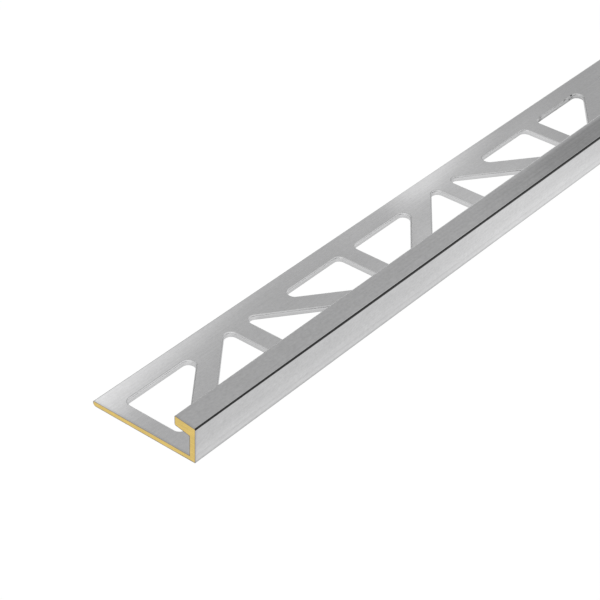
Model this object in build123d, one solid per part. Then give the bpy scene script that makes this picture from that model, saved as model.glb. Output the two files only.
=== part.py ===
"""Tile edge trim: one length of plated brass profile with a punched anchoring leg.

X runs along the trim, Z is up, and the wall that shows after tiling faces low Y.
The origin is the middle of the footprint, on the underside of the leg.
"""

from build123d import *
import math
import os

# Section of the profile, in millimetres and degrees
trim_height = 8.2  # underside of the leg to the tile-side edge of the lip
leg_width = 24.5  # visible wall face to the tip of the leg
leg_thickness = 1.1
wall_thickness = 1.4
lip_depth = 4.8  # visible wall face to the tile-side edge of the lip
lip_edge_thickness = 2.1
lip_top_slope = 7.0  # the top falls towards the visible corner
lip_under_slope = 11.0  # the underside falls towards the wall

# Rounded edges of the section
visible_corner_radius = 0.35
foot_corner_radius = 0.15
leg_tip_lower_radius = 0.7
leg_tip_upper_radius = 0.25
lip_edge_lower_radius = 0.4
lip_edge_upper_radius = 0.2
leg_root_radius = 0.2
lip_root_radius = 0.3

# Length and the punched row
trim_length = 1000.0
end_strip = 3.5  # solid leg between each sawn end and its first hole
outer_strip = 4.5  # solid leg between the holes and the tip of the leg
inner_strip = 6.4  # visible wall face to the inner side of the holes
strut_width = 4.5  # metal between neighbouring holes
strut_angle = 36.87  # slanted struts, from the length of the trim
nominal_pitch = 33.25  # one cell of two holes and the strut beside it
hole_corner_radius = 1.4
hole_edge_rollover = 0.35  # rounding that the punch leaves on the upper edges
punch_overrun = 2.0


def section():
    """Closed outline of the profile, with local x away from the visible wall and local y up."""
    visible_corner_height = trim_height - lip_depth * math.tan(math.radians(lip_top_slope))
    lip_edge_bottom = trim_height - lip_edge_thickness
    lip_under_fall = (lip_depth - wall_thickness) * math.tan(math.radians(lip_under_slope))
    corners = [
        ((0, 0), foot_corner_radius),
        ((leg_width, 0), min(leg_tip_lower_radius, 0.65 * leg_thickness)),
        ((leg_width, leg_thickness), min(leg_tip_upper_radius, 0.3 * leg_thickness)),
        ((wall_thickness, leg_thickness), leg_root_radius),
        ((wall_thickness, lip_edge_bottom - lip_under_fall), lip_root_radius),
        ((lip_depth, lip_edge_bottom), min(lip_edge_lower_radius, 0.6 * lip_edge_thickness)),
        ((lip_depth, trim_height), min(lip_edge_upper_radius, 0.3 * lip_edge_thickness)),
        ((0, visible_corner_height), visible_corner_radius),
    ]
    points = [point for point, radius in corners]
    radii = [radius for point, radius in corners]
    return make_face(FilletPolyline(*points, radius=radii, close=True))


def punched_holes():
    """Outlines of every hole, on the XY plane: two right triangles to a cell, each second cell mirrored."""
    outer_side = leg_width - outer_strip - leg_width / 2
    inner_side = inner_strip - leg_width / 2
    cell_depth = outer_side - inner_side

    row_length = trim_length - 2 * end_strip + strut_width
    cell_count = round(row_length / nominal_pitch)
    pitch = row_length / cell_count
    cell_length = pitch - strut_width

    # The slanted strut runs through the middle of its cell and parts the two triangles
    rise = math.tan(math.radians(strut_angle))
    strut_along_trim = strut_width / math.sin(math.radians(strut_angle))
    hole_length = (cell_length + cell_depth / rise - strut_along_trim) / 2
    hole_depth = hole_length * rise

    # Right angle at the origin, long side along the trim, short side towards the wall
    corners = [(0, 0), (hole_length, 0), (0, -hole_depth)]
    hole = make_face(FilletPolyline(*corners, radius=hole_corner_radius, close=True))
    mirrored_hole = mirror(hole, Plane.YZ)

    outlines = []
    for cell in range(cell_count):
        start = end_strip + cell * pitch - trim_length / 2
        end = start + cell_length
        if cell % 2 == 0:
            outlines.append(Pos(start, outer_side) * hole)
            outlines.append(Pos(end, inner_side) * Rot(0, 0, 180) * hole)
        else:
            outlines.append(Pos(end, outer_side) * mirrored_hole)
            outlines.append(Pos(start, inner_side) * Rot(0, 0, 180) * mirrored_hole)
    return outlines


def punches():
    """Solid punches that pass through the leg."""
    depth = leg_thickness + 2 * punch_overrun
    return [extrude(Pos(0, 0, -punch_overrun) * outline, depth, dir=(0, 0, 1)) for outline in punched_holes()]


def edge_trim():
    """The whole trim: profile, punched holes and the rolled upper edges of the holes."""
    profile = Pos(-trim_length / 2, -leg_width / 2, 0) * (Plane.YZ * section())
    trim = extrude(profile, trim_length, dir=(1, 0, 0)) - punches()
    leg_top = trim.faces().filter_by(Axis.Z).sort_by(Axis.Z)[-1]
    hole_edges = [edge for wire in leg_top.inner_wires() for edge in wire.edges()]
    return fillet(hole_edges, hole_edge_rollover)


os.makedirs("parts", exist_ok=True)
trim = edge_trim()
trim.label = "edge_trim"
export_step(trim, "parts/edge_trim.step")
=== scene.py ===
"""Studio scene of the tile edge trim: chrome-plated brass profile, with bare brass on the sawn ends."""

import math

import bpy
from mathutils import Matrix, Vector


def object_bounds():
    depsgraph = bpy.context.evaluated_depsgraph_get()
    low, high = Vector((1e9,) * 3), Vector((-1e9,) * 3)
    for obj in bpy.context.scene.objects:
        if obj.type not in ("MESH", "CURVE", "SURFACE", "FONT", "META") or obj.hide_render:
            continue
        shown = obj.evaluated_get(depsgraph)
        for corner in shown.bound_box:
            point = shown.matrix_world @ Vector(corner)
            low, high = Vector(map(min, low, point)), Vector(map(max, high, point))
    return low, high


MM = 0.001

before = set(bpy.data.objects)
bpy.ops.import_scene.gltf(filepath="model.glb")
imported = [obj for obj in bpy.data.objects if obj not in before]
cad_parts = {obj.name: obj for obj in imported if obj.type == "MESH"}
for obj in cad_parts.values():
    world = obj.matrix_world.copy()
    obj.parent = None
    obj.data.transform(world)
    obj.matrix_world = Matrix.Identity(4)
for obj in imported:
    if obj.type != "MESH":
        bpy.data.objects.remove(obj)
cad_low, cad_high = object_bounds()
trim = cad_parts["edge_trim"]
near_corner = Vector((cad_low.x, cad_low.y, 0.0))
trim_length = (cad_high.x - cad_low.x) / MM

# Camera, from the visible bottom corner of the near end
camera_offset = Vector((-193.87, -172.52, 221.25)) * MM
camera_heading = math.radians(52.115)  # from +Y towards +X
camera_drop = math.radians(35.627)
camera_roll = math.radians(-2.054)
camera_lens = 117.42
camera_sensor = 36.0

# Section of the profile, in millimetres from the visible wall face and the underside of the leg
leg_width = (cad_high.y - cad_low.y) / MM
leg_top = 1.1
wall_thickness = 1.4
lip_depth = 4.8
lip_edge_top = 8.2
lip_edge_bottom = 6.1
lip_under_slope = math.tan(math.radians(11.0))
visible_corner_height = 7.61
corner_zone = 0.5  # how far the rounded visible corner reaches
holes_start = 6.0  # just inside the row of holes, on its wall side and on its tip side
holes_end = leg_width - 4.2

# Directions of faces, as parts of their unit normals
straight = 0.999  # a face along an axis has at least so much of its normal on that axis
wall_lean = math.sin(math.radians(15.0))  # a face of the wall looks at least so much towards low Y

# Floor, in metres, and its levels of white
floor_size = 6.0
floor_depth = -0.02 * MM  # just under the trim
floor_to_camera = 0.975
floor_in_mirror = 0.785
floor_bounce = 0.9
floor_shadow = 0.045  # the part that a shadow can darken

# Colours of clean surfaces
chrome = (0.64, 0.64, 0.645)
# painted light: the holes' sides get a lighter chrome than the faces
lightened_punched_chrome = (0.76, 0.76, 0.765)
brass_color = (0.89, 0.655, 0.205)
skin_color = (0.3, 0.27, 0.25)

noise_shift = Vector((13.7, 29.3, 47.9))  # keeps noises of different seeds apart


def node(tree, kind, inputs=None, **settings):
    """Adds a node. Settings are its properties, and inputs are values or sockets by name or number."""
    made = tree.nodes.new(kind)
    for name, value in settings.items():
        setattr(made, name, value)
    for socket, value in (inputs or {}).items():
        if isinstance(value, bpy.types.NodeSocket):
            tree.links.new(value, made.inputs[socket])
        else:
            made.inputs[socket].default_value = value
    return made


def calc(tree, operation, *values):
    return node(tree, "ShaderNodeMath", dict(enumerate(values)), operation=operation).outputs[0]


def product(tree, *values):
    result = values[0]
    for value in values[1:]:
        result = calc(tree, "MULTIPLY", result, value)
    return result


def total(tree, *values):
    """Sum of the values, where a group in its own brackets stands for its product."""
    result = 0.0
    for value in values:
        if isinstance(value, tuple):
            value = product(tree, *value)
        result = calc(tree, "ADD", result, value)
    return result


def ramp(tree, value, start, end, low=0.0, high=1.0):
    """Smooth step of a value, from low at start to high at end."""
    inputs = {"Value": value, "From Min": start, "From Max": end, "To Min": low, "To Max": high}
    return node(tree, "ShaderNodeMapRange", inputs, interpolation_type="SMOOTHSTEP").outputs["Result"]


def band(tree, value, middle, reach):
    """One at the middle, falling smoothly to zero at the reach on either side."""
    distance = calc(tree, "ABSOLUTE", calc(tree, "SUBTRACT", value, middle))
    return ramp(tree, distance, 0.0, reach, 1.0, 0.0)


def blend(tree, factor, first, second):
    return node(tree, "ShaderNodeMix", {"Factor": factor, "A": first, "B": second}).outputs["Result"]


def place_on_trim(tree):
    """Place in millimetres from the visible bottom corner of the near end, whole and as its three parts."""
    place = node(tree, "ShaderNodeTexCoord").outputs["Object"]
    inputs = {0: place, 1: [1 / MM] * 3, 2: -near_corner / MM}
    place = node(tree, "ShaderNodeVectorMath", inputs, operation="MULTIPLY_ADD").outputs[0]
    return place, *node(tree, "ShaderNodeSeparateXYZ", {0: place}).outputs


def noise(tree, place, lengths, seed, detail=2.0):
    """Noise from about -1 to 1, whose features have the given lengths along X, Y and Z."""
    inputs = {0: place, 1: [1 / length for length in lengths], 2: noise_shift * seed}
    place = node(tree, "ShaderNodeVectorMath", inputs, operation="MULTIPLY_ADD").outputs[0]
    value = node(tree, "ShaderNodeTexNoise", {"Vector": place, "Scale": 1.0, "Detail": detail}).outputs[0]
    return calc(tree, "MULTIPLY_ADD", value, 2.0, -1.0)


def make_camera():
    forward = Vector((
        math.sin(camera_heading) * math.cos(camera_drop),
        math.cos(camera_heading) * math.cos(camera_drop),
        -math.sin(camera_drop),
    ))
    level_right = forward.cross(Vector((0, 0, 1))).normalized()
    level_up = level_right.cross(forward)
    right = level_right * math.cos(camera_roll) - level_up * math.sin(camera_roll)
    up = right.cross(forward)
    rotation = Matrix((right, up, -forward)).transposed()
    data = bpy.data.cameras.new("camera")
    data.lens = camera_lens
    data.sensor_width = camera_sensor
    data.clip_start = 0.01
    data.clip_end = 20
    camera = bpy.data.objects.new("camera", data)
    camera.matrix_world = Matrix.Translation(near_corner + camera_offset) @ rotation.to_4x4()
    bpy.context.scene.collection.objects.link(camera)
    bpy.context.scene.camera = camera


def tent_level(tree):
    """Brightness of the tent around the trim, by direction. Each group in brackets is a soft patch.

    X and Y are parts of the direction as a unit vector. From the camera, a point farther along the leg
    mirrors a direction of larger X and smaller Y. The numbers of each ramp are the edges of a patch, and
    the last number of a group is the light that it adds, or takes away where it is below zero.
    """
    direction = node(tree, "ShaderNodeTexCoord").outputs["Generated"]
    x, y, z = node(tree, "ShaderNodeSeparateXYZ", {0: direction}).outputs
    slope = calc(tree, "DIVIDE", y, z)
    in_leg = ramp(tree, slope, 0.6, 0.7)
    in_lip = ramp(tree, slope, 0.53, 0.475)

    # Light on the camera's side, which shows in the sides of the holes
    open_left = (ramp(tree, x, 0.05, -0.25), 0.25)
    open_front = (ramp(tree, y, 0.33, 0.05), 0.22)
    open_corner = (ramp(tree, x, 0.1, -0.15), ramp(tree, y, 0.1, -0.15), 0.15)

    # Large lamp that shows on the near tip of the leg, with shade above it
    across = total(tree, y, (x, 0.27))
    below_top = ramp(tree, y, 0.62, 0.57)
    lamp = (ramp(tree, across, 0.684, 0.712), ramp(tree, x, 0.70, 0.63), below_top, 0.68)
    above_lamp = (ramp(tree, y, 0.57, 0.63), ramp(tree, x, 0.0, 0.3), -0.2)

    # Strip of that lamp farther along the outer edge of the leg, with haze before it
    toward_strip = total(tree, x, (y, 0.77))
    strip_start = ramp(tree, toward_strip, 1.0608, 1.0640)
    strip = (ramp(tree, across, 0.6525, 0.6625), strip_start, below_top, 0.43)
    haze_start = ramp(tree, total(tree, x, (y, -2.47)), -0.498, -0.482)
    haze_end = ramp(tree, toward_strip, 1.0640, 1.0605)
    haze = (ramp(tree, across, 0.654, 0.661), haze_start, haze_end, below_top, 0.09)

    # Faint light and shade on the struts beside the strip
    along = total(tree, x, (y, 0.25))
    glow_start = ramp(tree, along, 0.803, 0.809)
    inner_glow = (glow_start, ramp(tree, x, 0.76, 0.705), ramp(tree, y, 0.475, 0.455), 0.12)
    strut_ends = product(tree, ramp(tree, x, 0.676, 0.686), ramp(tree, x, 0.6985, 0.6945))
    strut_glow = (strut_ends, in_leg, ramp(tree, y, 0.474, 0.468), 0.065)
    before_strut = (band(tree, x, 0.6735, 0.014), in_leg, 0.03)
    trough = band(tree, total(tree, y, (x, 0.65)), 0.918, 0.0065)
    strut_shade = (trough, ramp(tree, x, 0.6, 0.65), ramp(tree, x, 0.735, 0.72), -0.055)

    # Far part of the leg
    far_shade = (ramp(tree, x, 0.742, 0.765), in_leg, -0.07)
    far_band = (band(tree, across, 0.6475, 0.0065), ramp(tree, x, 0.72, 0.735), -0.075)
    far_glow = (ramp(tree, y, 0.424, 0.414), ramp(tree, x, 0.752, 0.765), in_leg, 0.035)

    # The lip, darker at its far part
    lip_shade = (in_lip, ramp(tree, x, 0.709, 0.752), -0.20)
    lip_glow = (in_lip, ramp(tree, x, 0.62, 0.58), ramp(tree, x, 0.2, 0.4), 0.02)

    level = ramp(tree, y, 0.39, 0.44, 0.55, 0.615)
    level = total(tree, level, open_left, open_front, open_corner, lamp, above_lamp, strip, haze)
    level = total(tree, level, inner_glow, strut_glow, before_strut, strut_shade)
    return total(tree, level, far_shade, far_band, far_glow, lip_shade, lip_glow)


def make_world():
    """White to the camera. To the metal it is a grey tent with soft lamps."""
    world = bpy.data.worlds.new("studio")
    bpy.context.scene.world = world
    world.use_nodes = True
    tree = world.node_tree
    is_camera = node(tree, "ShaderNodeLightPath").outputs["Is Camera Ray"]
    level = blend(tree, is_camera, tent_level(tree), 1.0)
    tree.links.new(level, tree.nodes["Background"].inputs["Color"])


def floor_white():
    """White that keeps a faint shadow. Its reflection in the visible wall grows lighter along the trim."""
    tree = new_tree("floor_white")
    tree.nodes.remove(tree.nodes["Principled BSDF"])
    path = node(tree, "ShaderNodeLightPath")
    is_camera = path.outputs["Is Camera Ray"]
    is_glossy = path.outputs["Is Glossy Ray"]

    _, x, y, _ = place_on_trim(tree)
    rise = total(tree, (ramp(tree, x, 30.0, 60.0), 0.008), (ramp(tree, x, 62.0, 102.0), 0.108))
    rise = total(tree, rise, (ramp(tree, x, 120.0, 150.0), -0.07))
    near_foot = ramp(tree, y, 2.0, 0.0, 0.5, 1.0)
    reflected = total(tree, floor_in_mirror, (rise, near_foot))
    glow_level = total(tree, (is_camera, floor_to_camera), (is_glossy, reflected))
    glow = node(tree, "ShaderNodeEmission", {"Color": glow_level})

    seen = calc(tree, "MAXIMUM", is_camera, is_glossy)
    diffuse = node(tree, "ShaderNodeBsdfDiffuse", {"Color": blend(tree, seen, floor_bounce, floor_shadow)})
    both = node(tree, "ShaderNodeAddShader", {0: glow.outputs[0], 1: diffuse.outputs[0]})
    tree.links.new(both.outputs[0], tree.nodes["Material Output"].inputs["Surface"])
    return bpy.data.materials["floor_white"]


def make_floor():
    half = floor_size / 2
    corners = [(x, y, floor_depth) for x, y in ((-half, -half), (half, -half), (half, half), (-half, half))]
    mesh = bpy.data.meshes.new("floor")
    mesh.from_pydata(corners, [], [(0, 1, 2, 3)])
    mesh.materials.append(floor_white())
    floor = bpy.data.objects.new("floor", mesh)
    bpy.context.scene.collection.objects.link(floor)


def new_tree(name):
    """Node tree of a new material."""
    material = bpy.data.materials.new(name)
    material.use_nodes = True
    return material.node_tree


def metal(name, color, shade, roughness, height):
    """Metal of one colour, whose shade and roughness vary with their sockets. Height is in millimetres."""
    material = bpy.data.materials[name]
    tree = material.node_tree
    shader = tree.nodes["Principled BSDF"]
    shader.inputs["Metallic"].default_value = 1
    shaded = node(tree, "ShaderNodeVectorMath", {0: color, "Scale": shade}, operation="SCALE").outputs[0]
    bump = node(tree, "ShaderNodeBump", {"Strength": 1.0, "Distance": MM, "Height": height})
    tree.links.new(shaded, shader.inputs["Base Color"])
    tree.links.new(roughness, shader.inputs["Roughness"])
    tree.links.new(bump.outputs[0], shader.inputs["Normal"])
    return material


def drawing_marks(tree, place, x, graininess, blotchiness):
    """Shade, roughness and height of the fine lines and faint waves that drawing and polishing leave, and a
    darker band by the sawn ends.
    """
    fine_lines = noise(tree, place, (60.0, 0.35, 0.35), 1)
    wide_lines = noise(tree, place, (150.0, 1.6, 1.6), 2)
    clouds = noise(tree, place, (9.0, 6.0, 6.0), 3)
    blotches = noise(tree, place, (3.0, 2.0, 2.0), 9)
    grain = noise(tree, place, (0.8, 0.5, 0.5), 10)
    waves = noise(tree, place, (12.0, 8.0, 8.0), 4, detail=0.0)
    end_distance = calc(tree, "MINIMUM", x, calc(tree, "SUBTRACT", trim_length, x))
    # darker within about half a millimetre of the sawn ends
    darker_by_sawn_ends = ramp(tree, end_distance, 0.6, 0.1)
    shade = total(tree, 1.0, (fine_lines, 0.05), (wide_lines, 0.02), (clouds, 0.015))
    shade = total(tree, shade, (blotches, blotchiness), (grain, graininess), (darker_by_sawn_ends, -0.12))
    roughness = total(tree, 0.055, (fine_lines, 0.015), (clouds, 0.01))
    height = total(tree, (waves, 0.0015), (fine_lines, 0.0002))
    return shade, roughness, height


def plating():
    """Polished chrome of the leg and the lip. The lip is faintly crowned along its tile-side edge, and has a
    painted highlight along the top of that edge.
    """
    tree = new_tree("chrome_plating")
    place, x, y, z = place_on_trim(tree)
    on_lip = ramp(tree, z, leg_top + 1.0, leg_top + 1.5)
    graininess = total(tree, 0.09, (on_lip, 0.05))
    shade, roughness, height = drawing_marks(tree, place, x, graininess, blotchiness=0.025)

    lip_lines = noise(tree, place, (40.0, 0.3, 0.3), 11)
    drawn_rougher = ramp(tree, x, 40.0, 120.0, 0.25, 1.0)
    # painted highlight along the top of the lip's back edge, growing from the middle of the trim on
    back_edge = ramp(tree, y, lip_depth - 0.4, lip_depth - 0.1)
    top_edge = ramp(tree, z, lip_edge_top - 0.25, lip_edge_top - 0.15)
    painted_highlight_far = ramp(tree, x, 50.0, 90.0)
    shade = total(tree, shade, (lip_lines, on_lip, drawn_rougher, 0.14))
    shade = total(tree, shade, (back_edge, top_edge, painted_highlight_far, 0.15))

    past_crown = calc(tree, "MAXIMUM", calc(tree, "SUBTRACT", y, lip_depth - 1.2), 0.0)
    height = total(tree, height, (calc(tree, "POWER", past_crown, 2.0), on_lip, -0.0095))
    return metal("chrome_plating", chrome, shade, roughness, height)


def wall_plating():
    """Chrome of the visible wall, painted lighter towards its foot and painted darker at the foot itself,
    with a painted dark reflection along its upper corner.
    """
    tree = new_tree("wall_plating")
    place, x, _, z = place_on_trim(tree)
    shade, roughness, height = drawing_marks(tree, place, x, graininess=0.14, blotchiness=0.06)
    # painted light on the lower part of the wall, and painted shade at its foot
    lower_half_painted_light = ramp(tree, z, 4.3, 2.2)
    dark_streak = band(tree, z, 1.65, 0.3)
    light_streak = band(tree, z, 0.9, 0.35)
    painted_foot_shade = ramp(tree, z, 0.6, 0.3)
    shade = total(tree, shade, (lower_half_painted_light, 0.085), (dark_streak, -0.065), (light_streak, 0.04))
    shade = total(tree, shade, (painted_foot_shade, -0.24))

    # The painted dark reflection along the upper corner widens downwards a little along the trim
    drift = ramp(tree, x, 5.0, 60.0)
    far_drift = ramp(tree, x, 95.0, 110.0)
    line_bottom = ramp(tree, total(tree, z, (drift, 0.18), (far_drift, 0.03)), 7.30, 7.34)
    line_top = ramp(tree, total(tree, z, (drift, 0.015)), 7.642, 7.627)
    painted_dark_reflection = total(tree, 1.0, (line_bottom, line_top, -0.935))
    return metal("wall_plating", chrome, product(tree, shade, painted_dark_reflection), roughness, height)


def punched_edges():
    """Plated sides of the punched holes, duller than the faces, with a line where the punch broke through.
    Painted light and shade by place stand for the reflections on them.
    """
    tree = new_tree("punched_edges")
    place, x, y, z = place_on_trim(tree)
    normal = node(tree, "ShaderNodeTexCoord").outputs["Normal"]
    normal_x, normal_y, _ = node(tree, "ShaderNodeSeparateXYZ", {0: normal}).outputs
    toward_near_end = total(tree, (normal_x, -math.sqrt(0.5)), (normal_y, -math.sqrt(0.5)))

    tears = noise(tree, place, (1.2, 1.2, 0.5), 5)
    patches = noise(tree, place, (5.0, 5.0, 2.0), 6)
    break_line = band(tree, total(tree, z, (tears, 0.06)), 0.45, 0.2)
    foot_line = ramp(tree, z, 0.34, 0.12)
    # painted shade on the sides of the far holes
    painted_far_shade = ramp(tree, x, 132.0, 145.0)
    shade = total(tree, 1.0, (tears, 0.04), (patches, 0.06), (break_line, -0.09), (foot_line, -0.13))
    shade = total(tree, shade, (painted_far_shade, -0.1))

    # Slanted sides, and the sides across the trim: painted shade near the start of the trim and on their
    # rolled tops, and painted light just under the roll where they face the near end
    other_sides = ramp(tree, y, 19.8, 18.8)
    painted_near_shade = ramp(tree, x, 45.0, 60.0, -0.04, -0.01)
    painted_roll_shade = ramp(tree, z, leg_top - 0.27, leg_top - 0.1)
    painted_under_roll_light = product(tree, ramp(tree, toward_near_end, 0.85, 0.95), band(tree, z, leg_top - 0.31, 0.13))
    shade = total(tree, shade, (other_sides, painted_near_shade), (other_sides, painted_roll_shade, -0.12))
    shade = total(tree, shade, (other_sides, painted_under_roll_light, 0.09))

    # Outer sides, along the tip of the leg, with painted shade by place and a painted highlight where they
    # face the near end. Their rolled edges are painted light where they run straight and painted dark where
    # they turn
    outer_side = ramp(tree, y, 18.8, 19.8)
    middle = ramp(tree, x, 40.0, 60.0)
    fourth_hole = band(tree, x, 55.0, 12.0)
    farther = ramp(tree, x, 95.0, 115.0)
    corner = ramp(tree, toward_near_end, 0.8, 0.98)
    painted_outer_level = total(tree, (middle, -0.04), (fourth_hole, -0.04), (farther, -0.08), (corner, 0.1))
    rolled_edge = band(tree, z, leg_top - 0.18, 0.25)
    painted_roll_level = ramp(tree, normal_x, -0.45, -0.1, -0.13, 0.24)
    shade = total(tree, shade, (outer_side, painted_outer_level), (outer_side, rolled_edge, painted_roll_level))

    # Ninth hole, whose outer side has no painted dark rim but a painted dark foot, a dark start and burrs.
    # The other outer sides get the painted dark rim
    ninth_hole = product(tree, ramp(tree, x, 134.0, 138.0), ramp(tree, x, 160.0, 156.0))
    rim = ramp(tree, z, leg_top - 0.06, leg_top - 0.02)
    painted_rim_level = total(tree, -0.2, (ninth_hole, 0.22))
    painted_foot_shade = ramp(tree, z, 0.5, 0.2)
    hole_start = band(tree, x, 138.6, 1.2)
    shade = total(tree, shade, (outer_side, rim, painted_rim_level), (ninth_hole, painted_foot_shade, -0.14), (hole_start, -0.3))
    burrs = ramp(tree, noise(tree, place, (1.5, 1.5, 0.5), 8, detail=3.0), 0.12, 0.3)
    worn_punch = product(tree, band(tree, x, 150.5, 7.0), ramp(tree, y, 18.5, 19.5))
    shade = total(tree, shade, (burrs, worn_punch, -0.95))

    roughness = total(tree, 0.38, (tears, 0.06))
    height = product(tree, tears, 0.001)
    return metal("punched_edges", lightened_punched_chrome, shade, roughness, height)


def outline_distance(tree, y, z):
    """How deep a point of the sawn end lies inside the profile, from its nearest side."""
    def inside(*sides):
        depth = sides[0]
        for side in sides[1:]:
            depth = calc(tree, "MINIMUM", depth, side)
        return depth

    lip_top_slope = (lip_edge_top - visible_corner_height) / lip_depth
    lip_top = total(tree, visible_corner_height, (y, lip_top_slope))
    lip_bottom = total(tree, lip_edge_bottom - lip_depth * lip_under_slope, (y, lip_under_slope))
    below_lip_top = calc(tree, "SUBTRACT", lip_top, z)
    above_lip_bottom = calc(tree, "SUBTRACT", z, lip_bottom)
    leg = inside(z, y, calc(tree, "SUBTRACT", leg_top, z), calc(tree, "SUBTRACT", leg_width, y))
    wall = inside(z, y, calc(tree, "SUBTRACT", wall_thickness, y), below_lip_top)
    lip = inside(y, calc(tree, "SUBTRACT", lip_depth, y), below_lip_top, above_lip_bottom)
    return calc(tree, "MAXIMUM", leg, calc(tree, "MAXIMUM", wall, lip))


def sawn_brass():
    """Bare brass of the sawn ends, with saw marks and the plating as a thin grey line around it."""
    tree = new_tree("sawn_brass")
    place, _, y, z = place_on_trim(tree)
    saw_marks = noise(tree, place, (5.0, 5.0, 0.3), 7)
    mottle = noise(tree, place, (1.5, 1.5, 1.5), 8)
    shade = total(tree, 1.0, (saw_marks, 0.16), (mottle, 0.14))
    roughness = total(tree, 0.37, (mottle, 0.08))
    height = product(tree, saw_marks, 0.003)

    depth = total(tree, outline_distance(tree, y, z), (mottle, 0.03))
    skin = ramp(tree, depth, 0.20, 0.08)
    inputs = {0: skin, 4: brass_color, 5: skin_color}
    color = node(tree, "ShaderNodeMix", inputs, data_type="VECTOR").outputs[1]
    return metal("sawn_brass", color, shade, roughness, height)


def finish_faces():
    """Gives each face of the profile its finish."""
    trim.data.materials.clear()
    for make in (plating, sawn_brass, wall_plating, punched_edges):
        trim.data.materials.append(make())
    on_plating, on_end, on_wall, on_hole = range(4)
    last_x = cad_high.x - 0.01 * MM
    for polygon in trim.data.polygons:
        normal = polygon.normal
        center = (polygon.center - near_corner) / MM
        if abs(normal.x) > straight and abs(polygon.center.x) > last_x:
            finish = on_end
        elif center.y < corner_zone and normal.y < -wall_lean:
            finish = on_wall
        elif holes_start < center.y < holes_end and abs(normal.z) < straight:
            finish = on_hole
        else:
            finish = on_plating
        polygon.material_index = finish


make_camera()
make_world()
make_floor()
finish_faces()

scene = bpy.context.scene
scene.view_settings.view_transform = "Standard"
